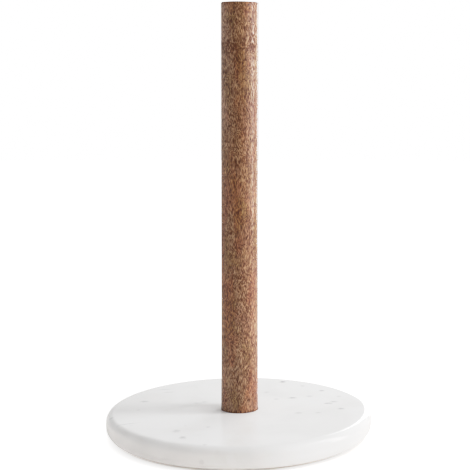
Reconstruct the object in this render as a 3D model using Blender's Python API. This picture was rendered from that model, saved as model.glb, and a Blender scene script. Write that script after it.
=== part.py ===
"""Paper towel holder: a turned wooden dowel bolted upright to a round marble base.

Run it with: blender --background --python part.py
Units are metres and +Z is up. The origin is at the middle of the base, on the surface that it stands on.
"""

import math

import bmesh
import bpy

# Driving sizes.
FIT_GAP = 0.0003  # air between two pieces that rest on each other or fit round each other
OVERALL_HEIGHT = 0.308

PAD_RADIUS = 0.008
PAD_HEIGHT = 0.0015
PAD_CIRCLE_RADIUS = 0.070  # the pads' centres lie on this circle
PAD_EDGE = 0.0003

BASE_RADIUS = 0.095
BASE_THICKNESS = 0.016
BASE_TOP_ROUND = 0.006
BASE_BOTTOM_ROUND = 0.007
SEAT_DEPTH = 0.001  # shallow round seat that centres the dowel
BOLT_HOLE_RADIUS = 0.0036
COUNTERBORE_RADIUS = 0.0125
COUNTERBORE_DEPTH = 0.009

DOWEL_RADIUS = 0.0132
DOWEL_TOP_ROUND = 0.0008
DOWEL_FOOT_CHAMFER = 0.0004
PILOT_RADIUS = 0.0036
PILOT_BEYOND_BOLT = 0.002
PILOT_DRILL_POINT = 0.0015

INSERT_LENGTH = 0.015
INSERT_CREST_RADIUS = 0.0055
INSERT_ROOT_RADIUS = 0.0046
INSERT_PITCH = 0.003
INSERT_HEX_FLATS = 0.0066
INSERT_HEX_DEPTH = 0.004
WOOD_THREAD_CLEARANCE = 0.00025

BOLT_LENGTH = 0.030
BOLT_THREAD_LENGTH = 0.024
BOLT_CREST_RADIUS = 0.00295
BOLT_ROOT_RADIUS = 0.00235
BOLT_PITCH = 0.001
BOLT_HEAD_RADIUS = 0.00525
BOLT_HEAD_HEIGHT = 0.0033
BOLT_HEAD_RIM = 0.0007
BOLT_HEAD_FLAT_RADIUS = 0.0029
BOLT_HEX_FLATS = 0.004
BOLT_HEX_DEPTH = 0.0022
BOLT_HEX_POINT = 0.0006
METAL_THREAD_CLEARANCE = 0.0002

FIBRE_RADIUS = 0.0105
FIBRE_THICKNESS = 0.001
FLAT_RADIUS = 0.010
FLAT_THICKNESS = 0.0016
SPRING_RADIUS = 0.0059
SPRING_THICKNESS = 0.0016
SPRING_SLOT_DEGREES = 14
SPRING_LIFT = 0.0002  # rise from one end of the split to the other, tightened nearly flat
WASHER_HOLE_RADIUS = 0.0033
WASHER_EDGE = 0.0002

# Facets round each kind of piece.
BASE_SEGMENTS = 96
DOWEL_SEGMENTS = 72
HARDWARE_SEGMENTS = 24
PAD_SEGMENTS = 24
ROUND_STEPS = 5
SMOOTH_BELOW_DEGREES = 35
WELD_DISTANCE = 1e-6

# Heights, from the floor up.
BASE_BOTTOM = PAD_HEIGHT + FIT_GAP
BASE_TOP = BASE_BOTTOM + BASE_THICKNESS
SEAT_FLOOR = BASE_TOP - SEAT_DEPTH
DOWEL_FOOT = SEAT_FLOOR + FIT_GAP
INSERT_LOW = DOWEL_FOOT + FIT_GAP
INSERT_HIGH = INSERT_LOW + INSERT_LENGTH
COUNTERBORE_CEILING = BASE_BOTTOM + COUNTERBORE_DEPTH
FIBRE_LOW = COUNTERBORE_CEILING - FIT_GAP - FIBRE_THICKNESS
FLAT_LOW = FIBRE_LOW - FIT_GAP - FLAT_THICKNESS
SPRING_LOW = FLAT_LOW - FIT_GAP - SPRING_THICKNESS
BOLT_BEARING = SPRING_LOW - FIT_GAP
BOLT_TIP = BOLT_BEARING + BOLT_LENGTH


def clear_scene() -> None:
    for item in list(bpy.data.objects):
        bpy.data.objects.remove(item, do_unlink=True)


def principled(name, colour, roughness, metallic=0.0):
    """A plain Principled material; colour is linear red, green and blue."""
    material = bpy.data.materials.new(name)
    material.use_nodes = True
    shader = material.node_tree.nodes["Principled BSDF"]
    shader.inputs["Base Color"].default_value = (*colour, 1.0)
    shader.inputs["Roughness"].default_value = roughness
    shader.inputs["Metallic"].default_value = metallic
    return material


def quarter_round(centre_radius, centre_height, radius, start_degrees, end_degrees):
    """Profile points (radius, height) along an arc about a point of the profile."""
    points = []
    for step in range(ROUND_STEPS + 1):
        angle = math.radians(start_degrees + (end_degrees - start_degrees) * step / ROUND_STEPS)
        points.append(
            (centre_radius + radius * math.cos(angle), centre_height + radius * math.sin(angle))
        )
    return points


def hexagon_reach(angle, across_flats):
    """Distance from the middle of a hexagon to its edge in one direction."""
    sector = math.radians(60)
    return across_flats / 2 / math.cos((angle % sector) - sector / 2)


def ring(mesh, radius, height, segments):
    """Vertices round the Z axis; radius is a number, or a function of the angle."""
    vertices = []
    for step in range(segments):
        angle = math.tau * step / segments
        reach = radius(angle) if callable(radius) else radius
        vertices.append(mesh.verts.new((reach * math.cos(angle), reach * math.sin(angle), height)))
    return vertices


def bridge(mesh, first, second):
    """Faces between two rings; the second may have a whole number of times as many vertices."""
    ratio = len(second) // len(first)
    count = len(first)
    for index in range(count):
        here, after = first[index], first[(index + 1) % count]
        if ratio == 1:
            mesh.faces.new((here, after, second[(index + 1) % count], second[index]))
            continue
        fine = [second[(index * ratio + step) % len(second)] for step in range(ratio + 1)]
        middle = ratio // 2
        for step in range(middle):
            mesh.faces.new((here, fine[step + 1], fine[step]))
        mesh.faces.new((here, after, fine[middle]))
        for step in range(middle, ratio):
            mesh.faces.new((after, fine[step + 1], fine[step]))


def cap(mesh, edge, height):
    """Closes a ring with a fan to one point on the axis."""
    centre = mesh.verts.new((0, 0, height))
    for index, vertex in enumerate(edge):
        mesh.faces.new((vertex, edge[(index + 1) % len(edge)], centre))


def turn(mesh, profile, segments):
    """Turns (radius, height) points round the Z axis, and returns the rings at the two ends."""
    rings = [ring(mesh, radius, height, segments) for radius, height in profile]
    for first, second in zip(rings, rings[1:]):
        bridge(mesh, first, second)
    return rings[0], rings[-1]


def threaded_wall(mesh, turns, low, high, pitch, datum, end_radius):
    """A screw-thread wall from low to high, which starts and ends on plain rings of end_radius.

    turns lists one turn of the thread's profile as (fraction of the pitch, radius). Walls with one
    datum and one pitch are in step, so a bolt's thread lies in the middle of its nut's.
    """
    per_turn = len(turns)
    first_turn = math.floor((low - datum) / pitch) - 1
    last_turn = math.ceil((high - datum) / pitch) + 1
    fade = pitch / 2
    columns = []
    for step in range(HARDWARE_SEGMENTS):
        angle = math.tau * step / HARDWARE_SEGMENTS
        column = []
        for row in range((last_turn - first_turn) * per_turn):
            fraction, radius = turns[row % per_turn]
            whole = first_turn + row // per_turn
            height = datum + pitch * (whole + fraction + step / HARDWARE_SEGMENTS)
            height = min(max(height, low), high)
            strength = min(1.0, (height - low) / fade, (high - height) / fade)
            reach = end_radius + (radius - end_radius) * strength
            column.append(
                mesh.verts.new((reach * math.cos(angle), reach * math.sin(angle), height))
            )
        columns.append(column)
    rows = len(columns[0])
    for step, column in enumerate(columns):
        last = step == HARDWARE_SEGMENTS - 1
        beside = columns[0] if last else columns[step + 1]
        shift = per_turn if last else 0  # the helix has climbed one turn
        for row in range(rows - 1 - shift):
            corners = (column[row], beside[row + shift], beside[row + 1 + shift], column[row + 1])
            mesh.faces.new(corners)


def solid(name, mesh, material):
    """Welds the walls of a piece into one closed body with its faces pointing out."""
    bmesh.ops.remove_doubles(mesh, verts=mesh.verts, dist=WELD_DISTANCE)
    bmesh.ops.dissolve_degenerate(mesh, edges=mesh.edges, dist=WELD_DISTANCE)
    bmesh.ops.recalc_face_normals(mesh, faces=mesh.faces)
    data = bpy.data.meshes.new(name)
    mesh.to_mesh(data)
    mesh.free()
    data.shade_smooth()
    data.set_sharp_from_angle(angle=math.radians(SMOOTH_BELOW_DEGREES))
    data.materials.append(material)
    piece = bpy.data.objects.new(name, data)
    bpy.context.scene.collection.objects.link(piece)
    return piece


def make_marble_base(material):
    """Round slab with rounded edges, the dowel's seat on top and the bolt's counterbore below."""
    mesh = bmesh.new()
    seat_radius = DOWEL_RADIUS + FIT_GAP
    profile = [
        (BOLT_HOLE_RADIUS, COUNTERBORE_CEILING),
        (BOLT_HOLE_RADIUS, SEAT_FLOOR),
        (seat_radius, SEAT_FLOOR),
        (seat_radius, BASE_TOP),
    ]
    profile += quarter_round(
        BASE_RADIUS - BASE_TOP_ROUND, BASE_TOP - BASE_TOP_ROUND, BASE_TOP_ROUND, 90, 0
    )
    profile += quarter_round(
        BASE_RADIUS - BASE_BOTTOM_ROUND, BASE_BOTTOM + BASE_BOTTOM_ROUND, BASE_BOTTOM_ROUND, 0, -90
    )
    profile += [(COUNTERBORE_RADIUS, BASE_BOTTOM), (COUNTERBORE_RADIUS, COUNTERBORE_CEILING)]
    first, last = turn(mesh, profile, BASE_SEGMENTS)
    bridge(mesh, last, first)
    return solid("marble_base", mesh, material)


def insert_thread(clearance=0.0):
    """One turn of the insert's coarse outer thread, or of the groove that it cuts in the wood."""
    root = INSERT_ROOT_RADIUS + clearance
    crest = INSERT_CREST_RADIUS + clearance
    return [(0.0, root), (0.3, crest), (0.6, root)]


def make_wood_dowel(material):
    """Straight post with an eased top edge and the insert's threaded pocket in its foot."""
    mesh = bmesh.new()
    profile = [
        (DOWEL_RADIUS - DOWEL_FOOT_CHAMFER, DOWEL_FOOT),
        (DOWEL_RADIUS, DOWEL_FOOT + DOWEL_FOOT_CHAMFER),
    ]
    profile += quarter_round(
        DOWEL_RADIUS - DOWEL_TOP_ROUND, OVERALL_HEIGHT - DOWEL_TOP_ROUND, DOWEL_TOP_ROUND, 0, 90
    )
    foot, top = turn(mesh, profile, DOWEL_SEGMENTS)
    cap(mesh, top, OVERALL_HEIGHT)

    pocket_radius = INSERT_ROOT_RADIUS + WOOD_THREAD_CLEARANCE
    pocket_top = INSERT_HIGH + FIT_GAP
    pilot_top = BOLT_TIP + PILOT_BEYOND_BOLT
    bridge(mesh, ring(mesh, pocket_radius, DOWEL_FOOT, HARDWARE_SEGMENTS), foot)
    threaded_wall(
        mesh,
        insert_thread(WOOD_THREAD_CLEARANCE),
        DOWEL_FOOT,
        pocket_top,
        INSERT_PITCH,
        INSERT_LOW,
        pocket_radius,
    )
    pilot = [(pocket_radius, pocket_top), (PILOT_RADIUS, pocket_top), (PILOT_RADIUS, pilot_top)]
    _, pilot_end = turn(mesh, pilot, HARDWARE_SEGMENTS)
    cap(mesh, pilot_end, pilot_top + PILOT_DRILL_POINT)
    return solid("wood_dowel", mesh, material)


def bolt_thread(clearance=0.0):
    """One turn of the bolt's thread, or of the thread that it runs in."""
    return [(0.0, BOLT_CREST_RADIUS + clearance), (0.5, BOLT_ROOT_RADIUS + clearance)]


def make_threaded_insert(material):
    """Insert with a coarse thread outside, and a hexagon drive and the bolt's thread inside."""
    mesh = bmesh.new()
    bore_radius = BOLT_CREST_RADIUS + METAL_THREAD_CLEARANCE
    drive_end = INSERT_LOW + INSERT_HEX_DEPTH

    def hexagon(angle):
        return hexagon_reach(angle, INSERT_HEX_FLATS)

    threaded_wall(
        mesh,
        insert_thread(),
        INSERT_LOW,
        INSERT_HIGH,
        INSERT_PITCH,
        INSERT_LOW,
        INSERT_ROOT_RADIUS,
    )
    turn(mesh, [(INSERT_ROOT_RADIUS, INSERT_HIGH), (bore_radius, INSERT_HIGH)], HARDWARE_SEGMENTS)
    threaded_wall(
        mesh,
        bolt_thread(METAL_THREAD_CLEARANCE),
        drive_end,
        INSERT_HIGH,
        BOLT_PITCH,
        BOLT_BEARING,
        bore_radius,
    )
    drive = [
        (bore_radius, drive_end),
        (hexagon, drive_end),
        (hexagon, INSERT_LOW),
        (INSERT_ROOT_RADIUS, INSERT_LOW),
    ]
    turn(mesh, drive, HARDWARE_SEGMENTS)
    return solid("threaded_insert", mesh, material)


def make_base_bolt(material):
    """Button-head bolt, head down, with a hexagon socket."""
    mesh = bmesh.new()
    thread_low = BOLT_TIP - BOLT_THREAD_LENGTH
    cap(mesh, ring(mesh, BOLT_ROOT_RADIUS, BOLT_TIP, HARDWARE_SEGMENTS), BOLT_TIP)
    threaded_wall(
        mesh, bolt_thread(), thread_low, BOLT_TIP, BOLT_PITCH, BOLT_BEARING, BOLT_ROOT_RADIUS
    )

    def hexagon(angle):
        return hexagon_reach(angle, BOLT_HEX_FLATS)

    head_low = BOLT_BEARING - BOLT_HEAD_HEIGHT
    dome_top = BOLT_BEARING - BOLT_HEAD_RIM
    body = [
        (BOLT_ROOT_RADIUS, thread_low),
        (BOLT_CREST_RADIUS, thread_low - (BOLT_CREST_RADIUS - BOLT_ROOT_RADIUS)),
        (BOLT_CREST_RADIUS, BOLT_BEARING),
        (BOLT_HEAD_RADIUS, BOLT_BEARING),
    ]
    for step in range(ROUND_STEPS + 1):
        angle = math.radians(90 * step / ROUND_STEPS)
        dome_width = BOLT_HEAD_RADIUS - BOLT_HEAD_FLAT_RADIUS
        body.append(
            (
                BOLT_HEAD_FLAT_RADIUS + dome_width * math.cos(angle),
                dome_top - (dome_top - head_low) * math.sin(angle),
            )
        )
    socket_floor = head_low + BOLT_HEX_DEPTH
    body += [(hexagon, head_low), (hexagon, socket_floor)]
    _, socket_end = turn(mesh, body, HARDWARE_SEGMENTS)
    cap(mesh, socket_end, socket_floor + BOLT_HEX_POINT)
    return solid("base_bolt", mesh, material)


def make_washer(name, outer_radius, low, thickness, material):
    """Plain washer with its outer edges broken."""
    mesh = bmesh.new()
    high = low + thickness
    profile = [
        (WASHER_HOLE_RADIUS, low),
        (outer_radius - WASHER_EDGE, low),
        (outer_radius, low + WASHER_EDGE),
        (outer_radius, high - WASHER_EDGE),
        (outer_radius - WASHER_EDGE, high),
        (WASHER_HOLE_RADIUS, high),
    ]
    first, last = turn(mesh, profile, HARDWARE_SEGMENTS)
    bridge(mesh, last, first)
    return solid(name, mesh, material)


def make_spring_washer(material):
    """Split ring of square wire, whose two cut ends stand slightly out of line."""
    mesh = bmesh.new()
    sections = []
    for step in range(HARDWARE_SEGMENTS + 1):
        along = step / HARDWARE_SEGMENTS
        angle = math.radians(SPRING_SLOT_DEGREES / 2 + (360 - SPRING_SLOT_DEGREES) * along)
        low = SPRING_LOW + SPRING_LIFT * (along - 0.5)
        high = low + SPRING_THICKNESS
        corners = [
            (WASHER_HOLE_RADIUS, low),
            (SPRING_RADIUS, low),
            (SPRING_RADIUS, high),
            (WASHER_HOLE_RADIUS, high),
        ]
        section = [
            mesh.verts.new((radius * math.cos(angle), radius * math.sin(angle), height))
            for radius, height in corners
        ]
        sections.append(section)
    for first, second in zip(sections, sections[1:]):
        bridge(mesh, first, second)
    mesh.faces.new(sections[0])
    mesh.faces.new(sections[-1])
    return solid("spring_washer", mesh, material)


def make_foot_pad(name, x, y, material):
    """Round pad with its edges broken, centred on its own origin."""
    mesh = bmesh.new()
    profile = [
        (PAD_RADIUS - PAD_EDGE, 0.0),
        (PAD_RADIUS, PAD_EDGE),
        (PAD_RADIUS, PAD_HEIGHT - PAD_EDGE),
        (PAD_RADIUS - PAD_EDGE, PAD_HEIGHT),
    ]
    bottom, top = turn(mesh, profile, PAD_SEGMENTS)
    cap(mesh, bottom, 0.0)
    cap(mesh, top, PAD_HEIGHT)
    pad = solid(name, mesh, material)
    pad.location = (x, y, 0.0)
    return pad


def make_foot_pads(material):
    """Four pads, one in each quarter of the base."""
    offset = PAD_CIRCLE_RADIUS * math.sin(math.radians(45))
    for side, x in (("left", -offset), ("right", offset)):
        for end, y in (("front", -offset), ("back", offset)):
            make_foot_pad(f"foot_pad_{end}_{side}", x, y, material)


def main():
    clear_scene()
    marble = principled("honed white marble", (0.80, 0.79, 0.78), 0.22)
    mango = principled("oiled mango wood", (0.20, 0.115, 0.066), 0.45)
    zinc_alloy = principled("die-cast zinc alloy", (0.55, 0.54, 0.50), 0.42, 1.0)
    plated_steel = principled("zinc-plated steel", (0.60, 0.61, 0.62), 0.30, 1.0)
    spring_steel = principled("blackened spring steel", (0.06, 0.06, 0.065), 0.40, 1.0)
    red_fibre = principled("vulcanised fibre", (0.25, 0.045, 0.03), 0.60)
    black_rubber = principled("black rubber", (0.02, 0.02, 0.02), 0.75)

    make_marble_base(marble)
    make_wood_dowel(mango)
    make_threaded_insert(zinc_alloy)
    make_base_bolt(plated_steel)
    make_spring_washer(spring_steel)
    make_washer("flat_washer", FLAT_RADIUS, FLAT_LOW, FLAT_THICKNESS, plated_steel)
    make_washer("fibre_washer", FIBRE_RADIUS, FIBRE_LOW, FIBRE_THICKNESS, red_fibre)
    make_foot_pads(black_rubber)


main()
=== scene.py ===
"""Looks of the paper towel holder: an oiled mango-wood dowel on a polished white marble disc.

Every length in a class or a finish is in millimetres, and turns to metres where a mesh, a light or the
camera is made. The object stands at the frame's origin, with +Z up and -Y towards the front.
"""

import logging
import math
from collections.abc import Callable, Sequence
from dataclasses import dataclass, field
from enum import Enum

import bmesh
import bpy
from mathutils import Euler, Matrix, Vector


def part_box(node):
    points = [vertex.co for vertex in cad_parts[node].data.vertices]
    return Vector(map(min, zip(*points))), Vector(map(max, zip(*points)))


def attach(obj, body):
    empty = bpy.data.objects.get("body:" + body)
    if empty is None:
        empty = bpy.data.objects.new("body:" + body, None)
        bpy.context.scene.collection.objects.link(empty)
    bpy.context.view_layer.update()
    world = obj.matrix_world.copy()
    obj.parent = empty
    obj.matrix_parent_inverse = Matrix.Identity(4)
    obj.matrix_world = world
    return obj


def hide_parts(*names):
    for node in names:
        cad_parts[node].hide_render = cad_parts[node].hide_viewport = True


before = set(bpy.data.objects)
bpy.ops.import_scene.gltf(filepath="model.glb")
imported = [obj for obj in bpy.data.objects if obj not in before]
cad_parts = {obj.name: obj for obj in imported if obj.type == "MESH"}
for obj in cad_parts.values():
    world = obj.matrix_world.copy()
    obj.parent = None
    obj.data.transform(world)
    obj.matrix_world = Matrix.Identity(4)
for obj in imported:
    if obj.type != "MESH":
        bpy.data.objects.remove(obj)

LOG = logging.getLogger("paper_towel_holder")
MM = 0.001
BODY = "root"
WHITE = (1.0, 1.0, 1.0, 1.0)
ROLLED_STEPS = 4  # chords in a small rolled edge
MIX_FACTOR, MIX_A, MIX_B, MIX_RESULT = 0, 6, 7, 2  # the colour sockets of a Mix node

Tree = bpy.types.NodeTree
Node = bpy.types.Node
Socket = bpy.types.NodeSocket
Reach = float | Callable[[float], float]
ProfilePoint = tuple[Reach, float]


class Slot(Enum):
    """The record's material slots."""

    WOOD = "mango_wood"
    STONE = "white_marble"
    CAST_ZINC = "zinc_alloy"
    PLATED_STEEL = "plated_steel"
    SPRING_STEEL = "spring_steel"
    FIBRE = "red_fibre"
    RUBBER = "black_rubber"


@dataclass(frozen=True)
class Room:
    """The space that a round CAD node takes, in millimetres."""

    radius: float
    low: float
    high: float
    x: float
    y: float

    @classmethod
    def of(cls, node: str) -> "Room":
        """Reads a node's space from the frame.

        Args:
            node: the CAD node's name.

        Returns:
            Its radius, its lowest and highest height, and where its middle is.
        """
        low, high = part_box(node)
        return cls(
            radius=(high.x - low.x) / 2 / MM,
            low=low.z / MM,
            high=high.z / MM,
            x=(low.x + high.x) / 2 / MM,
            y=(low.y + high.y) / 2 / MM,
        )


# ---------------------------------------------------------------------------------------------
# Colour and nodes
# ---------------------------------------------------------------------------------------------


def linear(colour: str) -> tuple[float, float, float, float]:
    """Turns an sRGB hex colour to a linear one.

    Args:
        colour: six hex digits after a hash sign.

    Returns:
        Linear red, green, blue and an alpha of 1.
    """
    parts = [int(colour[start : start + 2], 16) / 255 for start in (1, 3, 5)]
    red, green, blue = [
        part / 12.92 if part <= 0.04045 else ((part + 0.055) / 1.055) ** 2.4 for part in parts
    ]
    return red, green, blue, 1.0


def fill(node: Node, inputs: dict) -> None:
    """Fills a node's inputs.

    Args:
        node: the node.
        inputs: an input's name or number, to the socket that is linked to it or to its value.
    """
    for key, value in inputs.items():
        if isinstance(value, Socket):
            node.id_data.links.new(value, node.inputs[key])
        else:
            node.inputs[key].default_value = value


def add(tree: Tree, kind: str, inputs: dict | None = None, **settings: object) -> Node:
    """Adds a node, with its settings and its inputs.

    Args:
        tree: the node tree that the node goes in.
        kind: the node's Blender type, without the ShaderNode at its front.
        inputs: what fill() puts in its inputs.
        **settings: the node's own properties.

    Returns:
        The new node.
    """
    node = tree.nodes.new("ShaderNode" + kind)
    for name, value in settings.items():
        setattr(node, name, value)
    fill(node, inputs or {})
    return node


@dataclass(frozen=True)
class Finish:
    """What every finish has: a name, and a Principled material that its own method dresses."""

    name: str = "finish"

    def material(self) -> bpy.types.Material:
        """Makes the material.

        Returns:
            A material with this finish's nodes.
        """
        made = bpy.data.materials.new(self.name)
        made.use_nodes = True
        tree = made.node_tree
        place = add(tree, "TexCoord").outputs["Object"]
        in_mm = add(tree, "VectorMath", {0: place, "Scale": 1 / MM}, operation="SCALE").outputs[0]
        self.dress(tree, tree.nodes["Principled BSDF"], in_mm)
        return made

    def dress(self, tree: Tree, shader: Node, place: Socket) -> None:
        """Sets the shader up. Each finish has its own way.

        Args:
            tree: the material's node tree.
            shader: its Principled shader.
            place: the point on the object, in millimetres.
        """
        raise NotImplementedError


# ---------------------------------------------------------------------------------------------
# Finishes
# ---------------------------------------------------------------------------------------------


@dataclass(frozen=True)
class Grain:
    """Noise drawn out along the wood's fibres, and how far it takes the wood's tone.

    across and along are its size in millimetres. The tone goes from dark to light while the noise
    goes from low to high. Kinds of grain with different offsets don't line up.
    """

    across: float
    along: float
    low: float
    high: float
    dark: float
    light: float
    detail: float = 1.0
    offset: float = 0.0


@dataclass(frozen=True)
class OiledMangoWood(Finish):
    """Mango wood, turned, sanded along the grain and wiped with oil.

    It gives the eye a mid-brown, diffuse-porous wood: short dark vessel lines everywhere, wavy
    interlocked grain that tilts them to and fro, soft growth zones, patches that go red,
    purple-brown and olive, a band of dark curls near the top, and a thin line of painted shade at each
    end.
    The oil leaves a satin surface, dull in the open pores, that turns pale where light grazes it.
    Real fibres are finer than shows from a step away, so they are drawn about 0.3 mm across.
    """

    name: str = "mango_wood_turned_and_oiled"
    tones: tuple[str, ...] = ("#4b1f00", "#592d00", "#6b3e1d", "#875f3e", "#ad8969")  # dark to light
    growth_zone_mm: float = 5.0
    growth_zone_noise: tuple[float, float] = (0.35, 0.70)
    earlywood_tone: float = 0.64
    latewood_tone: float = 0.50
    zone_lean: float = 0.02
    pith: tuple[float, float] = (-46.0, 30.0)
    wave_length_mm: float = 20.0
    wave_height_mm: float = 4.0
    wave_slip_mm: float = 1.0
    wave_spread: float = 0.6
    grains: tuple[Grain, ...] = (
        Grain(0.32, 2.8, 0.34, 0.66, -0.60, 0.60),  # fibres
        Grain(2.2, 6.0, 0.36, 0.64, -0.045, 0.045, 2.0, 17.0),  # mottle
        Grain(1.2, 48.0, 0.36, 0.64, -0.08, 0.08, 2.0, 41.0),  # long streaks
        Grain(7.0, 24.0, 0.36, 0.64, -0.07, 0.07, 2.0, 59.0),  # broad light and dark areas
    )
    vessel: Grain = Grain(0.52, 2.8, 0.54, 0.64, 0.0, 0.22, 1.0, 73.0)
    curl: Grain = Grain(2.2, 1.5, 0.48, 0.58, 0.0, 0.55, 2.0, 91.0)
    curl_height: float = 277.0
    curl_spread: float = 7.0
    patches: tuple[tuple[str, Grain], ...] = (
        ("#ffe8dc", Grain(11.0, 30.0, 0.48, 0.62, 0.0, 1.0, 3.0, 31.0)),  # red
        ("#f7eff3", Grain(11.0, 30.0, 0.48, 0.62, 0.0, 1.0, 3.0, 67.0)),  # purple-brown
        ("#f5f6df", Grain(11.0, 30.0, 0.48, 0.62, 0.0, 1.0, 3.0, 113.0)),  # olive
    )
    # painted shade at the dowel's foot and top edge: how far the dark line reaches, and how much darker
    # it is
    end_shade_reach_mm: float = 1.1
    end_shade_depth: float = 0.45
    roughness: float = 0.22
    pore_roughness: float = 0.85
    pore_tone: float = 0.1
    smooth_tone: float = 0.6
    relief_mm: float = 0.05
    relief_strength: float = 0.5

    def dress(self, tree: Tree, shader: Node, place: Socket) -> None:
        """Adds up the wood's tone from its grains, zones and vessels, and tints its patches.

        Args:
            tree: the material's node tree.
            shader: its Principled shader.
            place: the point on the object, in millimetres.
        """
        grain = self._interlocked(tree, place)
        tone = self._growth_zones(tree, grain)
        for kind in self.grains:
            part = self._grain(tree, grain, kind)
            tone = add(tree, "Math", {0: tone, 1: part}, operation="ADD").outputs[0]
        vessels = self._grain(tree, grain, self.vessel)
        # the vessels and curls are the wood's own marks; the lines at the ends are painted shade
        for darker in (vessels, self._painted_end_shade(tree, place), self._curls(tree, place)):
            tone = add(tree, "Math", {0: tone, 1: darker}, operation="SUBTRACT").outputs[0]
        ramp = add(tree, "ValToRGB", {0: tone})
        stops = ramp.color_ramp.elements
        while len(stops) < len(self.tones):
            stops.new(0.5)
        for index, (stop, colour) in enumerate(zip(stops, self.tones)):
            stop.position = index / (len(self.tones) - 1)
            stop.color = linear(colour)
        colour = self._tinted(tree, place, ramp.outputs[0])
        dulled = {1: self.pore_tone, 2: self.smooth_tone, 3: self.pore_roughness, 4: self.roughness}
        rough = add(tree, "MapRange", {0: tone, **dulled}).outputs[0]
        relief = {"Height": tone, "Distance": self.relief_mm * MM, "Strength": self.relief_strength}
        bump = add(tree, "Bump", relief).outputs[0]
        fill(shader, {"Base Color": colour, "Roughness": rough, "Normal": bump})

    def _grain(self, tree: Tree, grain: Socket, kind: Grain) -> Socket:
        """Makes one kind of grain.

        Args:
            tree: the material's node tree.
            grain: the point in grain space, in millimetres.
            kind: its size and its range.

        Returns:
            Its strength, from the kind's dark to its light value.
        """
        shape = {1: (1 / kind.across, 1 / kind.across, 1 / kind.along), 2: (kind.offset,) * 3}
        drawn = add(tree, "VectorMath", {0: grain, **shape}, operation="MULTIPLY_ADD").outputs[0]
        pattern = {"Vector": drawn, "Scale": 1.0, "Detail": kind.detail}
        noise = add(tree, "TexNoise", pattern).outputs[0]
        return add(
            tree,
            "MapRange",
            {0: noise, 1: kind.low, 2: kind.high, 3: kind.dark, 4: kind.light},
            interpolation_type="SMOOTHSTEP",
        ).outputs[0]

    def _interlocked(self, tree: Tree, place: Socket) -> Socket:
        """Sways the grain sideways along the dowel, so that it tilts to and fro.

        Args:
            tree: the material's node tree.
            place: the point on the object, in millimetres.

        Returns:
            The point in grain space, in millimetres, with the fibres along Z.
        """
        spread = {0: place, 1: (self.wave_spread, self.wave_spread, 1.0)}
        stretched = add(tree, "VectorMath", spread, operation="MULTIPLY").outputs[0]
        waves = {"Vector": stretched, "Scale": 1 / self.wave_length_mm, "Detail": 2.0}
        noise = add(tree, "TexNoise", waves).outputs["Color"]
        middle = {0: noise, 1: (0.5, 0.5, 0.5)}
        centred = add(tree, "VectorMath", middle, operation="SUBTRACT").outputs[0]
        far, along = 2 * self.wave_height_mm, 2 * self.wave_slip_mm
        sway = add(tree, "VectorMath", {0: centred, 1: (far, far, along)}, operation="MULTIPLY")
        return add(tree, "VectorMath", {0: place, 1: sway.outputs[0]}, operation="ADD").outputs[0]

    def _painted_end_shade(self, tree: Tree, place: Socket) -> Socket:
        """Painted shade: a thin dark line at the dowel's foot, where it stands on the stone, and at its
        top edge.

        Args:
            tree: the material's node tree.
            place: the point on the object, in millimetres.

        Returns:
            How much darker this point is.
        """
        height = add(tree, "SeparateXYZ", {0: place}).outputs["Z"]
        ends = ((Room.of("marble_base").high, 1), (Room.of("wood_dowel").high, -1))
        lines = [
            add(
                tree,
                "MapRange",
                {0: height, 1: end + inward * self.end_shade_reach_mm, 2: end, 3: 0.0, 4: self.end_shade_depth},
            ).outputs[0]
            for end, inward in ends
        ]
        return add(tree, "Math", {0: lines[0], 1: lines[1]}, operation="MAXIMUM").outputs[0]

    def _curls(self, tree: Tree, place: Socket) -> Socket:
        """A band of small dark curls across the grain, near the dowel's top.

        Args:
            tree: the material's node tree.
            place: the point on the object, in millimetres.

        Returns:
            How much darker the curls make this point.
        """
        height = add(tree, "SeparateXYZ", {0: place}).outputs["Z"]
        middle = {0: height, 1: self.curl_height}
        below = add(tree, "Math", middle, operation="SUBTRACT").outputs[0]
        away = add(tree, "Math", {0: below}, operation="ABSOLUTE").outputs[0]
        inside = add(
            tree,
            "MapRange",
            {0: away, 1: 0.0, 2: self.curl_spread, 3: 1.0, 4: 0.0},
            interpolation_type="SMOOTHSTEP",
        ).outputs[0]
        marks = self._grain(tree, place, self.curl)
        return add(tree, "Math", {0: inside, 1: marks}, operation="MULTIPLY").outputs[0]

    def _growth_zones(self, tree: Tree, grain: Socket) -> Socket:
        """Soft bands round a pith outside the dowel, nearly parallel to the fibres.

        Args:
            tree: the material's node tree.
            grain: the point in grain space, in millimetres.

        Returns:
            The zone's tone, from the earlywood's to the latewood's.
        """
        lean = {0: grain, 1: (1.0, 1.0, self.zone_lean)}
        flat = add(tree, "VectorMath", lean, operation="MULTIPLY").outputs[0]
        pith = {0: flat, 1: (*self.pith, 0.0)}
        away = add(tree, "VectorMath", pith, operation="DISTANCE").outputs["Value"]
        rings = {"W": away, "Scale": 1 / self.growth_zone_mm, "Detail": 3.0, "Roughness": 0.6}
        bands = add(tree, "TexNoise", rings, noise_dimensions="1D").outputs[0]
        low, high = self.growth_zone_noise
        zones = {0: bands, 1: low, 2: high, 3: self.earlywood_tone, 4: self.latewood_tone}
        return add(tree, "MapRange", zones).outputs[0]

    def _tinted(self, tree: Tree, place: Socket, colour: Socket) -> Socket:
        """Tints the wood in red, purple-brown and olive patches.

        Args:
            tree: the material's node tree.
            place: the point on the object, in millimetres.
            colour: the wood's colour before.

        Returns:
            The tinted colour.
        """
        for tint, patch in self.patches:
            where = self._grain(tree, place, patch)
            colour = add(
                tree,
                "Mix",
                {MIX_FACTOR: where, MIX_A: colour, MIX_B: linear(tint)},
                data_type="RGBA",
                blend_type="MULTIPLY",
            ).outputs[MIX_RESULT]
        return colour


@dataclass(frozen=True)
class Speck:
    """A mineral fleck in the stone's top: millimetres from the slab's axis, and a turn in degrees."""

    x: float
    y: float
    length: float
    width: float
    strength: float
    turn: float = 0.0


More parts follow.
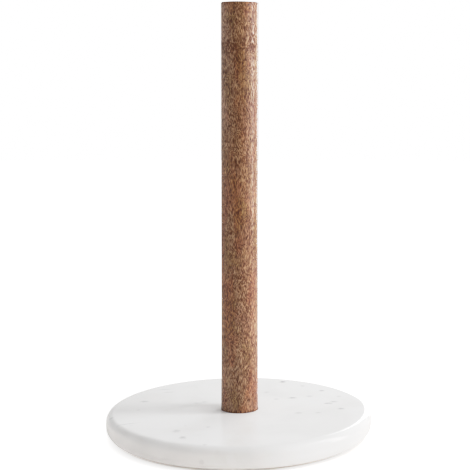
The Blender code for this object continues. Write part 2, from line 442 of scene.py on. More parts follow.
@dataclass(frozen=True)
class PolishedMarble(Finish):
    """White marble, sawn, ground and polished, with its underside left as sawn.

    It gives the eye a bright stone with faint grey clouds, a few grey mineral flecks and thin
    veins, a soft gloss that mirrors the dowel's foot, and light that goes a little way in.
    """

    name: str = "white_marble_polished"
    ground: str = "#f1f0ef"
    cloud: str = "#dcdbd9"
    fleck: str = "#85868a"
    cloud_mm: float = 45.0
    cloud_noise: tuple[float, float] = (0.42, 0.70)
    cloudiness: float = 0.7
    fleck_cell_mm: float = 17.0
    fleck_radius: tuple[float, float] = (0.13, 0.05)  # shares of a cell, where it starts and is full
    fleck_lots: tuple[float, float] = (0.55, 0.98)  # a cell drawn below the first has no fleck
    fleck_strength: float = 0.6
    ragged_size_mm: float = 2.0
    ragged_reach_mm: float = 1.6
    speck_depth_mm: float = 3.0
    speck_scale: float = 1.3  # how often its edge wavers in half its length
    speck_raggedness: float = 1.1
    speck_fade: tuple[float, float] = (1.6, 0.7)
    roughness: float = 0.16
    sawn_roughness: float = 0.55
    sawn_facing: tuple[float, float] = (-0.90, -0.98)
    glow_weight: float = 0.12
    glow_mm: float = 4.0
    glow_radius: tuple[float, float, float] = (1.0, 0.95, 0.9)
    gloss: float = 0.4
    specks: tuple[Speck, ...] = (
        Speck(33, 75, 7.2, 7.1, 1.0),
        Speck(69, 15, 7.9, 5.4, 0.66),
        Speck(73, -4, 7.2, 6.5, 0.66),
        Speck(64, 11, 7.2, 4.2, 0.84, 20),
        Speck(62, 47, 6.5, 6.5, 0.73),
        Speck(39, 27, 8.6, 6.5, 0.73),
        Speck(52, 31, 6.5, 6.0, 0.45),
        Speck(48, 62, 5.0, 7.0, 0.40),
        Speck(20, 44, 6.0, 6.0, 0.35),
        Speck(74, 30, 5.0, 6.0, 0.40),
        Speck(27, 24, 5.8, 4.2, 0.63),
        Speck(56, -14, 5.8, 4.8, 0.46),
        Speck(42, -14, 7.2, 6.5, 0.46),
        Speck(-42, -55, 7.2, 9.5, 0.38),
        Speck(-37, -70, 6.5, 8.5, 0.48),
        Speck(-70, 21, 8.6, 6.5, 0.45),
        Speck(-58, 55, 17.2, 4.2, 0.33, 10),
        Speck(-54, 47, 12.9, 4.2, 0.33, 8),
        Speck(-31, 15, 10.0, 4.2, 0.38),
        Speck(-26, 18, 7.2, 4.2, 0.38),
        Speck(-77, -37, 23.0, 3.7, 0.33, 20),
    )

    def dress(self, tree: Tree, shader: Node, place: Socket) -> None:
        """Builds the clouds, veins and flecks, the polish and the sawn underside.

        Args:
            tree: the material's node tree.
            shader: its Principled shader.
            place: the point on the object, in millimetres.
        """
        soft = {"Vector": place, "Scale": 1 / self.cloud_mm, "Detail": 5.0, "Distortion": 0.6}
        clouds = add(tree, "TexNoise", soft).outputs[0]
        low, high = self.cloud_noise
        cloudy = add(tree, "MapRange", {0: clouds, 1: low, 2: high, 3: 0.0, 4: self.cloudiness})
        colour = add(
            tree,
            "Mix",
            {MIX_FACTOR: cloudy.outputs[0], MIX_A: linear(self.ground), MIX_B: linear(self.cloud)},
            data_type="RGBA",
        ).outputs[MIX_RESULT]
        marks = self._random_flecks(tree, place)
        top = Room.of("marble_base").high
        for speck in self.specks:
            mark = self._speck(tree, place, speck, top)
            marks = add(tree, "Math", {0: marks, 1: mark}, operation="MAXIMUM").outputs[0]
        marked = add(
            tree,
            "Mix",
            {MIX_FACTOR: marks, MIX_A: colour, MIX_B: linear(self.fleck)},
            data_type="RGBA",
        ).outputs[MIX_RESULT]
        facing = add(tree, "NewGeometry").outputs["Normal"]
        up = add(tree, "SeparateXYZ", {0: facing}).outputs["Z"]
        polished, sawn = self.sawn_facing
        below = {0: up, 1: polished, 2: sawn, 3: self.roughness, 4: self.sawn_roughness}
        stone = {
            "Base Color": marked,
            "Roughness": add(tree, "MapRange", below).outputs[0],
            "Subsurface Weight": self.glow_weight,
            "Subsurface Radius": self.glow_radius,
            "Subsurface Scale": self.glow_mm * MM,
            "Specular IOR Level": self.gloss,
        }
        fill(shader, stone)

    def _random_flecks(self, tree: Tree, place: Socket) -> Socket:
        """Small flecks scattered through the stone, in about half of the cells and mostly faint.

        Args:
            tree: the material's node tree.
            place: the point on the object, in millimetres.

        Returns:
            The fleck's strength at this point.
        """
        rough = {"Vector": place, "Scale": 1 / self.ragged_size_mm, "Detail": 2.0}
        noise = add(tree, "TexNoise", rough).outputs["Color"]
        reach = {0: noise, "Scale": self.ragged_reach_mm}
        ragged = add(tree, "VectorMath", reach, operation="SCALE").outputs[0]
        moved = add(tree, "VectorMath", {0: place, 1: ragged}, operation="ADD").outputs[0]
        cells = add(tree, "TexVoronoi", {"Vector": moved, "Scale": 1 / self.fleck_cell_mm})
        edge, core = self.fleck_radius
        near = add(tree, "MapRange", {0: cells.outputs["Distance"], 1: edge, 2: core, 3: 0.0, 4: 1.0})
        lot = add(tree, "SeparateColor", {0: cells.outputs["Color"]}).outputs[0]
        low, high = self.fleck_lots
        picked = add(tree, "MapRange", {0: lot, 1: low, 2: high, 3: 0.0, 4: self.fleck_strength})
        both = {0: near.outputs[0], 1: picked.outputs[0]}
        return add(tree, "Math", both, operation="MULTIPLY").outputs[0]

    def _speck(self, tree: Tree, place: Socket, speck: Speck, top: float) -> Socket:
        """One fleck on the top face.

        Args:
            tree: the material's node tree.
            place: the point on the object, in millimetres.
            speck: the fleck.
            top: the top face's height.

        Returns:
            The fleck's strength at this point.
        """
        local = add(
            tree,
            "Mapping",
            {
                "Vector": place,
                "Location": (speck.x, speck.y, top),
                "Rotation": (0.0, 0.0, math.radians(speck.turn)),
                "Scale": (speck.length / 2, speck.width / 2, self.speck_depth_mm),
            },
            vector_type="TEXTURE",
        ).outputs[0]
        waver = {"Vector": local, "Scale": self.speck_scale, "Detail": 3.0}
        ragged = add(tree, "TexNoise", waver).outputs[0]
        away = add(tree, "VectorMath", {0: local}, operation="LENGTH").outputs["Value"]
        torn = {0: ragged, 1: self.speck_raggedness, 2: away}
        edge = add(tree, "Math", torn, operation="MULTIPLY_ADD").outputs[0]
        gone, full = self.speck_fade
        return add(
            tree,
            "MapRange",
            {0: edge, 1: gone, 2: full, 3: 0.0, 4: speck.strength},
            interpolation_type="SMOOTHSTEP",
        ).outputs[0]


@dataclass(frozen=True)
class GrainyMetal(Finish):
    """A metal part whose gloss and tone vary a little, at a grain of its own.

    Zinc plate gives the eye a pale, slightly blue satin; blackened spring steel a dark oily one;
    and die-cast zinc alloy a dull, warmer grey with the cast skin's fine relief.
    """

    name: str = "metal"
    light: str = "#b9bcc0"
    shade: str = "#a3a6ab"
    grain_mm: float = 0.8
    roughness: float = 0.30
    relief_mm: float = 0.004
    smoother: float = 0.06
    rougher: float = 0.10

    def dress(self, tree: Tree, shader: Node, place: Socket) -> None:
        """Mixes the two tones by noise, which also drives the roughness and a slight relief.

        Args:
            tree: the material's node tree.
            shader: its Principled shader.
            place: the point on the object, in millimetres.
        """
        fine = {"Vector": place, "Scale": 1 / self.grain_mm, "Detail": 4.0}
        noise = add(tree, "TexNoise", fine).outputs[0]
        colour = add(
            tree,
            "Mix",
            {MIX_FACTOR: noise, MIX_A: linear(self.light), MIX_B: linear(self.shade)},
            data_type="RGBA",
        ).outputs[MIX_RESULT]
        gloss = {0: noise, 3: self.roughness - self.smoother, 4: self.roughness + self.rougher}
        rough = add(tree, "MapRange", gloss).outputs[0]
        relief = {"Height": noise, "Distance": self.relief_mm * MM, "Strength": 0.5}
        bump = add(tree, "Bump", relief).outputs[0]
        fill(shader, {"Base Color": colour, "Roughness": rough, "Normal": bump, "Metallic": 1.0})


@dataclass(frozen=True)
class FibreBoard(Finish):
    """Vulcanised fibre, pressed and punched.

    It gives the eye a hard, matt, faintly flocked red-brown sheet.
    """

    name: str = "vulcanised_fibre_punched"
    light: str = "#8a3526"
    shade: str = "#6a2319"
    fibre_mm: float = 0.35
    roughness: float = 0.62
    relief_mm: float = 0.02

    def dress(self, tree: Tree, shader: Node, place: Socket) -> None:
        """Mixes two reds by a fine, short noise, which is also its relief.

        Args:
            tree: the material's node tree.
            shader: its Principled shader.
            place: the point on the object, in millimetres.
        """
        flock = {"Vector": place, "Scale": 1 / self.fibre_mm, "Detail": 3.0}
        noise = add(tree, "TexNoise", flock).outputs[0]
        colour = add(
            tree,
            "Mix",
            {MIX_FACTOR: noise, MIX_A: linear(self.light), MIX_B: linear(self.shade)},
            data_type="RGBA",
        ).outputs[MIX_RESULT]
        relief = {"Height": noise, "Distance": self.relief_mm * MM, "Strength": 0.6}
        bump = add(tree, "Bump", relief).outputs[0]
        fill(shader, {"Base Color": colour, "Roughness": self.roughness, "Normal": bump})


@dataclass(frozen=True)
class MouldedRubber(Finish):
    """Black nitrile rubber, moulded in sheet and die-cut.

    It gives the eye a dull black with a fine talc bloom.
    """

    name: str = "nitrile_rubber_die_cut"
    ground: str = "#1d1d1e"
    bloom: str = "#343536"
    bloom_mm: float = 4.0
    bloom_noise: tuple[float, float] = (0.4, 0.7)
    bloom_strength: float = 0.6
    grain_mm: float = 0.5
    roughness: float = 0.72
    relief_mm: float = 0.03

    def dress(self, tree: Tree, shader: Node, place: Socket) -> None:
        """Mixes the black with its bloom, over a fine moulded grain.

        Args:
            tree: the material's node tree.
            shader: its Principled shader.
            place: the point on the object, in millimetres.
        """
        dust = {"Vector": place, "Scale": 1 / self.bloom_mm, "Detail": 4.0}
        bloom = add(tree, "TexNoise", dust).outputs[0]
        low, high = self.bloom_noise
        share = add(tree, "MapRange", {0: bloom, 1: low, 2: high, 4: self.bloom_strength}).outputs[0]
        colour = add(
            tree,
            "Mix",
            {MIX_FACTOR: share, MIX_A: linear(self.ground), MIX_B: linear(self.bloom)},
            data_type="RGBA",
        ).outputs[MIX_RESULT]
        pebble = {"Vector": place, "Scale": 1 / self.grain_mm}
        grain = add(tree, "TexVoronoi", pebble).outputs["Distance"]
        relief = {"Height": grain, "Distance": self.relief_mm * MM, "Strength": 0.5}
        bump = add(tree, "Bump", relief).outputs[0]
        fill(shader, {"Base Color": colour, "Roughness": self.roughness, "Normal": bump})


# ---------------------------------------------------------------------------------------------
# Mesh making
# ---------------------------------------------------------------------------------------------


def arc(
    middle: tuple[float, float], radius: float, start: float, end: float, steps: int
) -> list[ProfilePoint]:
    """Profile points along an arc.

    Args:
        middle: the arc's centre, as distance from the axis and height.
        radius: its radius.
        start: the first point's angle in degrees, from outwards towards up.
        end: the last point's angle.
        steps: how many chords it has.

    Returns:
        The points, as distance from the axis and height.
    """
    points: list[ProfilePoint] = []
    for step in range(steps + 1):
        angle = math.radians(start + (end - start) * step / steps)
        points.append((middle[0] + radius * math.cos(angle), middle[1] + radius * math.sin(angle)))
    return points


def hexagon(across_flats: float) -> Callable[[float], float]:
    """A hexagon's outline.

    Args:
        across_flats: its size across the flats.

    Returns:
        How far its edge is from its middle, by direction.
    """
    sector = math.radians(60)
    return lambda angle: across_flats / 2 / math.cos((angle % sector) - sector / 2)


class TurnedBody:
    """A closed body made of walls turned round the Z axis, in millimetres."""

    weld: float = 0.0005
    sharp_degrees: float = 32.0  # the angle past which an edge shows as an edge
    thread_fade: float = 0.5  # how much of a pitch a thread takes to grow out of its end ring

    def __init__(self, segments: int) -> None:
        """Starts an empty body.

        Args:
            segments: how many facets it has round.
        """
        self.segments = segments
        self.mesh = bmesh.new()

    def vertex(self, reach: float, angle: float, height: float) -> bmesh.types.BMVert:
        """Adds a vertex.

        Args:
            reach: its distance from the axis.
            angle: its direction in radians.
            height: its height.

        Returns:
            The new vertex.
        """
        place = Vector((reach * math.cos(angle), reach * math.sin(angle), height))
        return self.mesh.verts.new(place * MM)

    def wall(self, profile: Sequence[ProfilePoint], closed: bool = False) -> None:
        """Turns a profile round the axis.

        Args:
            profile: distances from the axis and heights; a distance of 0 is a pole, and a
                distance may be a function of the angle.
            closed: whether the last point joins the first.
        """
        rings = []
        for reach, height in profile:
            if reach == 0:
                rings.append([self.mesh.verts.new((0.0, 0.0, height * MM))] * self.segments)
                continue
            ring = []
            for step in range(self.segments):
                angle = math.tau * step / self.segments
                far = reach(angle) if callable(reach) else reach
                ring.append(self.vertex(far, angle, height))
            rings.append(ring)
        pairs = list(zip(rings, rings[1:]))
        if closed:
            pairs.append((rings[-1], rings[0]))
        for first, second in pairs:
            for step in range(self.segments):
                after = (step + 1) % self.segments
                around = [first[step], first[after], second[after], second[step]]
                self.mesh.faces.new(list(dict.fromkeys(around)))

    def thread(
        self,
        turns: Sequence[tuple[float, float]],
        span: tuple[float, float],
        pitch: float,
        datum: float,
        end_reach: float,
    ) -> None:
        """Adds a screw-thread wall that starts and ends on plain rings.

        Args:
            turns: one turn of its profile, as share of the pitch and distance from the axis.
            span: its lowest and highest height.
            pitch: its pitch.
            datum: a height where a turn starts, which threads that mate share.
            end_reach: the distance from the axis of its two end rings.
        """
        low, high = span
        first = math.floor((low - datum) / pitch) - 1
        last = math.ceil((high - datum) / pitch) + 1
        fade = self.thread_fade * pitch
        columns = []
        for step in range(self.segments):
            column = []
            for row in range((last - first) * len(turns)):
                share, reach = turns[row % len(turns)]
                climb = first + row // len(turns) + share + step / self.segments
                height = min(max(datum + pitch * climb, low), high)
                depth = min(1.0, (height - low) / fade, (high - height) / fade)
                far = end_reach + (reach - end_reach) * depth
                column.append(self.vertex(far, math.tau * step / self.segments, height))
            columns.append(column)
        for step, column in enumerate(columns):
            wraps = step == self.segments - 1
            beside = columns[0] if wraps else columns[step + 1]
            shift = len(turns) if wraps else 0
            for row in range(len(column) - 1 - shift):
                self.mesh.faces.new(
                    (column[row], beside[row + shift], beside[row + shift + 1], column[row + 1])
                )

    def piece(self, name: str, node: str, finish: Finish, slot: Slot) -> bpy.types.Object:
        """Welds the walls into one piece that stands for a CAD node.

        Args:
            name: the piece's name.
            node: the CAD node that it stands for.
            finish: its finish.
            slot: the record's material slot, which is not used.

        Returns:
            The piece, riding on the object's body.
        """
        bmesh.ops.remove_doubles(self.mesh, verts=self.mesh.verts, dist=self.weld * MM)
        bmesh.ops.dissolve_degenerate(self.mesh, edges=self.mesh.edges, dist=self.weld * MM)
        bmesh.ops.recalc_face_normals(self.mesh, faces=self.mesh.faces)
        data = bpy.data.meshes.new(name)
        self.mesh.to_mesh(data)
        self.mesh.free()
        data.shade_smooth()
        data.set_sharp_from_angle(angle=math.radians(self.sharp_degrees))
        data.materials.append(finish.material())
        made = bpy.data.objects.new(name, data)
        bpy.context.scene.collection.objects.link(made)
        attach(made, BODY)
        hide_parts(node)
        return made


# ---------------------------------------------------------------------------------------------
# Sub-assemblies
# ---------------------------------------------------------------------------------------------


@dataclass
class Dowel:
    """The turned wooden post, with the insert's pocket in its foot."""

    finish: Finish = field(default_factory=OiledMangoWood)
    segments: int = 144
    top_round: float = 0.8
    top_steps: int = 8
    top_rings: tuple[float, ...] = (0.6, 0.25, 0.0)  # shares of the radius
    foot_chamfer: float = 0.4
    pocket_radius: float = 4.85
    pocket_crest: float = 5.75
    pocket_pitch: float = 3.0
    pocket_gap: float = 0.3
    thread_peak: float = 0.3  # shares of the pitch
    thread_foot: float = 0.6
    pilot_radius: float = 3.6
    pilot_end: float = 37.4
    drill_point: float = 1.5

    def build(self) -> bpy.types.Object:
        """Builds the dowel.

        Returns:
            The finished piece.
        """
        room = Room.of("wood_dowel")
        insert = Room.of("threaded_insert")
        body = TurnedBody(self.segments)
        outside: list[ProfilePoint] = [
            (self.pocket_radius, room.low),
            (room.radius - self.foot_chamfer, room.low),
            (room.radius, room.low + self.foot_chamfer),
        ]
        shoulder = (room.radius - self.top_round, room.high - self.top_round)
        outside += arc(shoulder, self.top_round, 0, 90, self.top_steps)
        outside += [(room.radius * share, room.high) for share in self.top_rings]
        body.wall(outside)
        pocket_top = insert.high + self.pocket_gap
        body.thread(
            [
                (0.0, self.pocket_radius),
                (self.thread_peak, self.pocket_crest),
                (self.thread_foot, self.pocket_radius),
            ],
            (room.low, pocket_top),
            self.pocket_pitch,
            insert.low,
            self.pocket_radius,
        )
        body.wall(
            [
                (self.pocket_radius, pocket_top),
                (self.pilot_radius, pocket_top),
                (self.pilot_radius, self.pilot_end),
                (0.0, self.pilot_end + self.drill_point),
            ]
        )
        return body.piece("turned_dowel", "wood_dowel", self.finish, Slot.WOOD)


@dataclass
class MarbleBase:
    """The stone disc: rounded edge, the dowel's seat on top, hole and counterbore below."""

    finish: Finish = field(default_factory=PolishedMarble)
    segments: int = 216
    top_round: float = 6.0
    bottom_round: float = 7.0
    seat_depth: float = 1.0
    seat_clearance: float = 0.3
    seat_ease: float = 0.15
    bolt_hole_radius: float = 3.6
    counterbore_radius: float = 12.5
    counterbore_depth: float = 9.0
    arris: float = 0.4
    edge_steps: int = 14
    top_rings: tuple[float, ...] = (0.33, 0.66)  # shares of the flat top, from the seat outwards

    def build(self) -> bpy.types.Object:
        """Builds the disc.

        Returns:
            The finished piece.
        """
        room = Room.of("marble_base")
        seat = Room.of("wood_dowel").radius + self.seat_clearance
        seat_floor = room.high - self.seat_depth
        ceiling = room.low + self.counterbore_depth
        profile: list[ProfilePoint] = [
            (self.bolt_hole_radius, ceiling),
            (self.bolt_hole_radius, seat_floor),
            (seat, seat_floor),
            (seat, room.high - self.seat_ease),
            (seat + self.seat_ease, room.high),
        ]
        flat_end = room.radius - self.top_round
        profile += [(seat + (flat_end - seat) * share, room.high) for share in self.top_rings]
        shoulder = (flat_end, room.high - self.top_round)
        profile += arc(shoulder, self.top_round, 90, 0, self.edge_steps)
        heel = (room.radius - self.bottom_round, room.low + self.bottom_round)
        profile += arc(heel, self.bottom_round, 0, -90, self.edge_steps)
        profile += [
            (self.counterbore_radius + self.arris, room.low),
            (self.counterbore_radius, room.low + self.arris),
            (self.counterbore_radius, ceiling),
        ]
        body = TurnedBody(self.segments)
        body.wall(profile, closed=True)
        return body.piece("marble_disc", "marble_base", self.finish, Slot.STONE)


@dataclass
class Fixings:
    """The bolt, its washers and the threaded insert that hold the dowel on the stone."""

    plated: Finish = field(
        default_factory=lambda: GrainyMetal("steel_zinc_plated", "#c3c6ca", "#a9adb4", 0.7, 0.28)
    )
    blackened: Finish = field(
        default_factory=lambda: GrainyMetal(
            "spring_steel_blackened", "#4c4d50", "#38393c", 0.4, 0.38
        )
    )
    cast: Finish = field(
        default_factory=lambda: GrainyMetal(
            "zinc_alloy_die_cast", "#b4b2ab", "#8f8d87", 0.5, 0.44, 0.02
        )
    )
    fibre: Finish = field(default_factory=FibreBoard)
    segments: int = 48
    bolt_crest: float = 2.95
    bolt_root: float = 2.35
    bolt_pitch: float = 1.0
    bolt_thread_length: float = 24.0
    bolt_runout: float = 0.6
    bolt_turn: tuple[float, ...] = (0.08, 0.44, 0.60, 0.94)  # shares of the pitch
    head_radius: float = 5.25
    head_height: float = 3.3
    head_rim: float = 0.7
    head_edge: float = 0.1
    head_flat: float = 2.9
    dome_steps: int = 12
    socket_flats: float = 4.0
    socket_depth: float = 2.2
    socket_lead: float = 0.15
    socket_point: float = 0.6
    thread_clearance: float = 0.2
    insert_root: float = 4.6
    insert_crest: float = 5.5
    insert_pitch: float = 3.0
    insert_turn: tuple[float, ...] = (0.22, 0.34, 0.56)  # shares of the pitch
    drive_flats: float = 6.6
    drive_depth: float = 4.0
    drive_lead: float = 0.2
    washer_hole: float = 3.3
    washer_arris: float = 0.05
    plated_edge: float = 0.3
    fibre_edge: float = 0.1
    wire: float = 1.6
    wire_ease: float = 0.15
    split_degrees: float = 14.0

    def build(self) -> list[bpy.types.Object]:
        """Builds the fixings.

        Returns:
            The five pieces.
        """
        return [
            self._bolt(),
            self._spring_washer(),
            self._washer(
                "penny_washer", "flat_washer", self.plated, Slot.PLATED_STEEL, self.plated_edge
            ),
            self._washer("stone_washer", "fibre_washer", self.fibre, Slot.FIBRE, self.fibre_edge),
            self._insert(),
        ]

    def _machine_thread(self, clearance: float) -> list[tuple[float, float]]:
        """The M6 thread, with narrow flats at crest and root.

        Args:
            clearance: how far outside the bolt's own thread it runs.

        Returns:
            One turn of it, as share of the pitch and distance from the axis.
        """
        crest, root = self.bolt_crest + clearance, self.bolt_root + clearance
        return [(0.0, crest), *zip(self.bolt_turn, (crest, root, root, crest))]

    def _bolt(self) -> bpy.types.Object:
        """Builds the button-head bolt, head down.

        Returns:
            The finished piece.
        """
        room = Room.of("base_bolt")
        bearing = room.low + self.head_height
        thread_low = room.high - self.bolt_thread_length
        body = TurnedBody(self.segments)
        body.wall([(0.0, room.high), (self.bolt_root, room.high)])
        body.thread(
            self._machine_thread(0.0),
            (thread_low, room.high),
            self.bolt_pitch,
            bearing,
            self.bolt_root,
        )
        profile: list[ProfilePoint] = [
            (self.bolt_root, thread_low),
            (self.bolt_crest, thread_low - self.bolt_runout),
            (self.bolt_crest, bearing),
            (self.head_radius - self.head_edge, bearing),
            (self.head_radius, bearing - self.head_edge),
        ]
        dome_top = bearing - self.head_rim
        for step in range(self.dome_steps + 1):
            angle = math.radians(90 * step / self.dome_steps)
            reach = self.head_flat + (self.head_radius - self.head_flat) * math.cos(angle)
            profile.append((reach, dome_top - (dome_top - room.low) * math.sin(angle)))
        walls = hexagon(self.socket_flats)
        floor = room.low + self.socket_depth
        profile += [
            (hexagon(self.socket_flats + 2 * self.socket_lead), room.low),
            (walls, room.low + self.socket_lead),
            (walls, floor),
            (0.0, floor + self.socket_point),
        ]
        body.wall(profile)
        return body.piece("button_head_bolt", "base_bolt", self.plated, Slot.PLATED_STEEL)

    def _insert(self) -> bpy.types.Object:
        """Builds the threaded insert, drive end down.

        Returns:
            The finished piece.
        """
        room = Room.of("threaded_insert")
        bearing = Room.of("base_bolt").low + self.head_height
        bore = self.bolt_crest + self.thread_clearance
        drive_top = room.low + self.drive_depth
        body = TurnedBody(self.segments)
        root, crest = self.insert_root, self.insert_crest
        body.thread(
            [(0.0, root), *zip(self.insert_turn, (crest, crest, root))],
            (room.low, room.high),
            self.insert_pitch,
            room.low,
            self.insert_root,
        )
        body.wall([(self.insert_root, room.high), (bore, room.high)])
        body.thread(
            self._machine_thread(self.thread_clearance),
            (drive_top, room.high),
            self.bolt_pitch,
            bearing,
            bore,
        )
        drive = hexagon(self.drive_flats)
        body.wall(
            [
                (bore, drive_top),
                (drive, drive_top),
                (drive, room.low + self.drive_lead),
                (hexagon(self.drive_flats + 2 * self.drive_lead), room.low),
                (self.insert_root, room.low),
            ]
        )
        return body.piece("wood_insert", "threaded_insert", self.cast, Slot.CAST_ZINC)

    def _washer(
        self, name: str, node: str, finish: Finish, slot: Slot, edge: float
    ) -> bpy.types.Object:
        """Builds a punched washer: its lower edges are rolled over and its upper ones are crisp.

        Args:
            name: the piece's name.
            node: the CAD node that it stands for.
            finish: its finish.
            slot: the record's material slot.
            edge: the radius of its lower edges.

        Returns:
            The finished piece.
        """
        room = Room.of(node)
        hole = self.washer_hole
        profile: list[ProfilePoint] = [(hole, room.high), (hole, room.low + edge)]
        profile += arc((hole + edge, room.low + edge), edge, 180, 270, ROLLED_STEPS)[1:]
        profile += arc((room.radius - edge, room.low + edge), edge, 270, 360, ROLLED_STEPS)
        arris = self.washer_arris
        profile += [(room.radius, room.high - arris), (room.radius - arris, room.high)]
        body = TurnedBody(self.segments)
        body.wall(profile, closed=True)
        return body.piece(name, node, finish, slot)

    def _spring_washer(self) -> bpy.types.Object:
        """Builds the split ring of square wire, with its corners eased.

        Returns:
            The finished piece.
        """
        room = Room.of("spring_washer")
        wire, ease = self.wire, self.wire_ease
        rise = room.high - room.low - wire
        body = TurnedBody(self.segments)
        inner, outer = self.washer_hole, room.radius
        outline = [
            (inner + ease, 0.0),
            (outer - ease, 0.0),
            (outer, ease),
            (outer, wire - ease),
            (outer - ease, wire),
            (inner + ease, wire),
            (inner, wire - ease),
            (inner, ease),
        ]
        sections = []
        for step in range(self.segments + 1):
            along = step / self.segments
            angle = math.radians(self.split_degrees / 2 + (360 - self.split_degrees) * along)
            sections.append(
                [body.vertex(far, angle, room.low + rise * along + up) for far, up in outline]
            )
        count = len(outline)
        for first, second in zip(sections, sections[1:]):
            for side in range(count):
                after = (side + 1) % count
                body.mesh.faces.new((first[side], first[after], second[after], second[side]))
        body.mesh.faces.new(sections[0])
        body.mesh.faces.new(sections[-1])
        return body.piece("split_washer", "spring_washer", self.blackened, Slot.SPRING_STEEL)


@dataclass
class FootPads:
    """Four rubber pads under the stone."""

    finish: Finish = field(default_factory=MouldedRubber)
    segments: int = 64
    edge: float = 0.3
    bulge: float = 0.1
    face_ring: float = 0.5  # share of the radius
    edge_degrees: float = 70.0

    def build(self) -> list[bpy.types.Object]:
        """Builds the pads.

        Returns:
            The four pieces.
        """
        return [
            self._pad(end, side) for side in ("left", "right") for end in ("front", "back")
        ]

    def _pad(self, end: str, side: str) -> bpy.types.Object:
        """Builds one pad, its cut wall bulging slightly under the load.

        Args:
            end: front or back.
            side: left or right.

        Returns:
            The finished piece.
        """
        node = f"foot_pad_{end}_{side}"
        room = Room.of(node)
        waist = room.radius - self.bulge
        inner, turn = waist * self.face_ring, self.edge_degrees
        low, high = (waist - self.edge, room.low + self.edge), (waist - self.edge, room.high - self.edge)
        profile: list[ProfilePoint] = [(0.0, room.low), (inner, room.low)]
        profile += arc(low, self.edge, 270, 270 + turn, ROLLED_STEPS)
        profile.append((room.radius, (room.low + room.high) / 2))
        profile += arc(high, self.edge, 90 - turn, 90, ROLLED_STEPS)
        profile += [(inner, room.high), (0.0, room.high)]
        body = TurnedBody(self.segments)
        body.wall(profile)
        body.mesh.transform(Matrix.Translation((room.x * MM, room.y * MM, 0.0)))
        return body.piece(f"rubber_pad_{end}_{side}", node, self.finish, Slot.RUBBER)


# ---------------------------------------------------------------------------------------------
# Studio
# ---------------------------------------------------------------------------------------------


@dataclass(frozen=True)
class SoftBox:
    """A rectangular studio light that points at the object."""

    name: str
    place: tuple[float, float, float]
    size: tuple[float, float]
    watts: float
    aim: tuple[float, float, float] = (0.0, 0.0, 110.0)

    def build(self) -> None:
        """Hangs the light."""
        light = bpy.data.lights.new(self.name, "AREA")
        light.shape = "RECTANGLE"
        light.size, light.size_y = (side * MM for side in self.size)
        light.energy = self.watts
        lamp = bpy.data.objects.new(self.name, light)
        lamp.location = Vector(self.place) * MM
        away = Vector(self.place) - Vector(self.aim)
        lamp.rotation_euler = away.to_track_quat("Z", "Y").to_euler()
        bpy.context.scene.collection.objects.link(lamp)


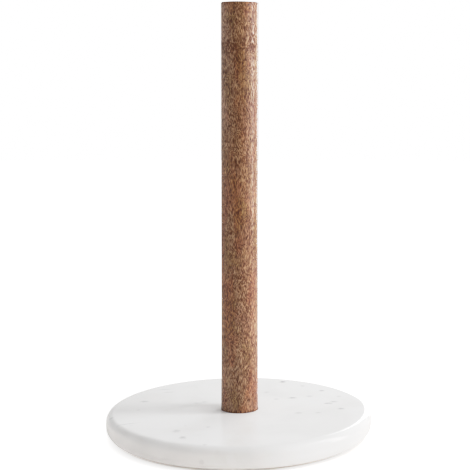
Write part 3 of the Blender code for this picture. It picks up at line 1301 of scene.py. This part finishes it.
@dataclass
class Studio:
    """A white floor, soft boxes, the camera and the view's tone.

    Each glow is where it starts, where it is full and how strong it is then, by the distance from
    the object's axis. The surround is the directions that its light comes from, and how strongly.
    """

    floor_radius: float = 3000.0
    floor_drop: float = 0.05
    floor_colour: str = "#f6efe9"
    floor_roughness: float = 0.9
    floor_gloss: float = 0.1
    near_glow: tuple[float, float, float] = (84.0, 99.0, 2.6)
    far_glow: tuple[float, float, float] = (150.0, 500.0, 1.2)
    bounce: float = 0.23
    surround: tuple[tuple[tuple[float, float, float], float], ...] = (
        ((0, 1, 0), 1.0),
        ((-1, 0, 0), 1.12),
        ((-0.3, -0.65, 0.7), 0.20),
    )
    surround_falloff: float = 2.0
    white: float = 2.6
    tone_curve: tuple[tuple[float, float], ...] = (  # light in the scene, and how bright it shows
        (0.45, 0.45),
        (0.6, 0.575),
        (0.8, 0.70),
        (1.0, 0.78),
        (1.25, 0.835),
        (1.6, 0.88),
        (2.0, 0.92),
        (2.6, 1.0),
    )
    camera_place: tuple[float, float, float] = (8.0, -850.0, 252.9)
    camera_pitch: float = 5.082
    camera_yaw: float = 3.806
    camera_roll: float = 0.403
    lens: float = 91.8
    sensor: float = 36.0
    shift: tuple[float, float] = (-0.203, -0.099)
    boxes: tuple[SoftBox, ...] = (
        SoftBox("right_front", (750, -500, 500), (500, 800), 4.4),
        SoftBox("right_high", (600, -100, 900), (600, 600), 2.2),
        SoftBox("right", (900, 0, 450), (280, 800), 12.5),
        SoftBox("back_strip", (350, 750, 250), (200, 700), 6.0),
        SoftBox("right_back", (700, 600, 450), (500, 800), 4.0),
        SoftBox("left", (-900, 100, 400), (500, 800), 0.5),
        SoftBox("overhead", (0, 0, 1100), (900, 900), 0.3),
    )

    def build(self) -> None:
        """Sets the studio up."""
        self._floor()
        self._world()
        for box in self.boxes:
            box.build()
        self._camera()
        self._tone()

    def _floor(self) -> None:
        """Lays white paper: lit until it is plain white to the camera, a weak glow to the object."""
        mesh = bmesh.new()
        bmesh.ops.create_circle(mesh, cap_ends=True, radius=self.floor_radius * MM, segments=96)
        data = bpy.data.meshes.new("paper_floor")
        mesh.to_mesh(data)
        mesh.free()
        paper = bpy.data.materials.new("white_paper_matt")
        paper.use_nodes = True
        tree = paper.node_tree
        place = add(tree, "TexCoord").outputs["Object"]
        away = add(tree, "VectorMath", {0: place}, operation="LENGTH").outputs["Value"]
        by_camera = add(tree, "LightPath").outputs["Is Camera Ray"]
        rings = [
            add(
                tree,
                "MapRange",
                {0: away, 1: start * MM, 2: end * MM, 3: 0.0, 4: strength},
                interpolation_type="SMOOTHSTEP",
            ).outputs[0]
            for start, end, strength in (self.near_glow, self.far_glow)
        ]
        both = add(tree, "Math", {0: rings[0], 1: rings[1]}, operation="ADD").outputs[0]
        seen = add(tree, "MapRange", {0: by_camera, 3: self.bounce, 4: both}).outputs[0]
        surface = {
            "Base Color": linear(self.floor_colour),
            "Roughness": self.floor_roughness,
            "Specular IOR Level": self.floor_gloss,
            "Emission Color": WHITE,
            "Emission Strength": seen,
        }
        fill(tree.nodes["Principled BSDF"], surface)
        data.materials.append(paper)
        floor = bpy.data.objects.new("paper_floor", data)
        floor.location.z = -self.floor_drop * MM
        bpy.context.scene.collection.objects.link(floor)

    def _world(self) -> None:
        """Makes the surround: plain white to the camera, soft light from a few sides to the object."""
        world = bpy.data.worlds.new("white_studio")
        world.use_nodes = True
        bpy.context.scene.world = world
        tree = world.node_tree
        direction = add(tree, "TexCoord").outputs["Generated"]
        total: bpy.types.NodeSocket | None = None
        for axis, strength in self.surround:
            facing = add(
                tree, "VectorMath", {0: direction, 1: axis}, operation="DOT_PRODUCT"
            ).outputs["Value"]
            front = add(tree, "Math", {0: facing, 1: 0.0}, operation="MAXIMUM").outputs[0]
            narrowed = {0: front, 1: self.surround_falloff}
            lobe = add(tree, "Math", narrowed, operation="POWER").outputs[0]
            inputs = {0: lobe, 1: strength, 2: 0.0 if total is None else total}
            total = add(tree, "Math", inputs, operation="MULTIPLY_ADD").outputs[0]
        by_camera = add(tree, "LightPath").outputs["Is Camera Ray"]
        seen = add(tree, "MapRange", {0: by_camera, 3: total, 4: self.white}).outputs[0]
        fill(tree.nodes["Background"], {"Color": WHITE, "Strength": seen})

    def _tone(self) -> None:
        """Gives the view a soft shoulder, so that white stone in bright light keeps its shading."""
        view = bpy.context.scene.view_settings
        view.view_transform = "Standard"
        view.use_curve_mapping = True
        mapping = view.curve_mapping
        mapping.white_level = (self.white, self.white, self.white)
        curve = mapping.curves[3]  # the one for all three colours
        *between, last = self.tone_curve
        curve.points[-1].location = (last[0] / self.white, last[1])
        for light, shown in between:
            curve.points.new(light / self.white, shown)
        for point in curve.points:
            point.handle_type = "VECTOR"
        mapping.update()

    def _camera(self) -> None:
        """Sets up a long lens a little below the dowel's top, turned slightly down and right."""
        data = bpy.data.cameras.new("camera")
        data.lens = self.lens
        data.sensor_width = self.sensor
        data.shift_x, data.shift_y = self.shift
        camera = bpy.data.objects.new("camera", data)
        turn = Euler(
            (math.radians(90 - self.camera_pitch), 0.0, -math.radians(self.camera_yaw))
        ).to_matrix()
        roll = Matrix.Rotation(math.radians(self.camera_roll), 3, "Z")
        camera.matrix_world = Matrix.LocRotScale(
            Vector(self.camera_place) * MM, (turn @ roll).to_quaternion(), None
        )
        bpy.context.scene.collection.objects.link(camera)
        bpy.context.scene.camera = camera


def main() -> None:
    """Builds the studio and the object."""
    logging.basicConfig(level=logging.INFO, format="%(name)s: %(message)s")
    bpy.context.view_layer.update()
    Studio().build()
    made = [Dowel().build(), MarbleBase().build(), *Fixings().build(), *FootPads().build()]
    for piece in made:
        LOG.info("%s: %d faces", piece.name, len(piece.data.polygons))


if __name__ == "__main__":
    main()
